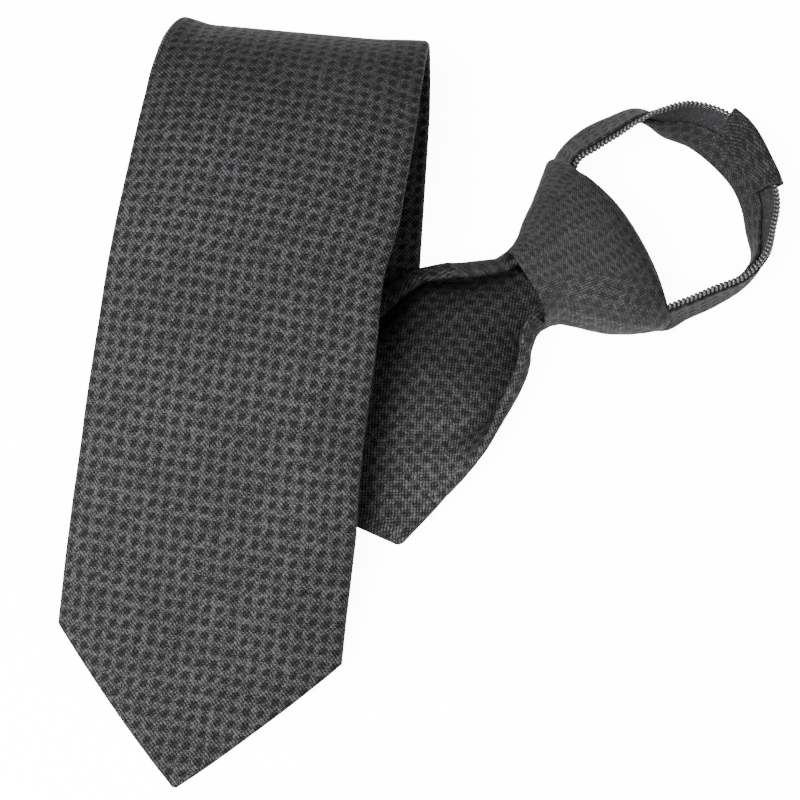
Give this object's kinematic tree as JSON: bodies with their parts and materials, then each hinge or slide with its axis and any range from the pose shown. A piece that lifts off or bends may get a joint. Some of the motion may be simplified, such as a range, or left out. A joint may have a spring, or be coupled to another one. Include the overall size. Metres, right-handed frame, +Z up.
{
  "type": "zipper tie",
  "caption": "Necktie with a ready-made knot and a zip-closed neck loop, lying folded so that its wide pointed blade rolls back over itself.",
  "frame": {"origin": "middle of the footprint of the whole tie, on the table it lies on", "axes": "+X to the right from the blade toward the neck loop, +Y from the blade's tip toward its rolled top, +Z up from the table"},
  "size_m": [0.2032, 0.2224, 0.0454],
  "materials": {
    "charcoal_weave": "matt charcoal weave with a small dark check",
    "black_tape": "black woven zip tape",
    "black_coil": "black nylon coil, satin",
    "dark_metal": "dark lacquered zip slider"
  },
  "bodies": {
    "root": {"blade": "charcoal_weave", "knot": "charcoal_weave", "neck_band": "charcoal_weave", "back_sleeve": "charcoal_weave", "zip_tape_upper": "black_tape", "zip_tape_lower": "black_tape", "zip_coil_upper": "black_coil", "zip_coil_lower": "black_coil", "zip_slider": "dark_metal"}
  },
  "joints": []
}
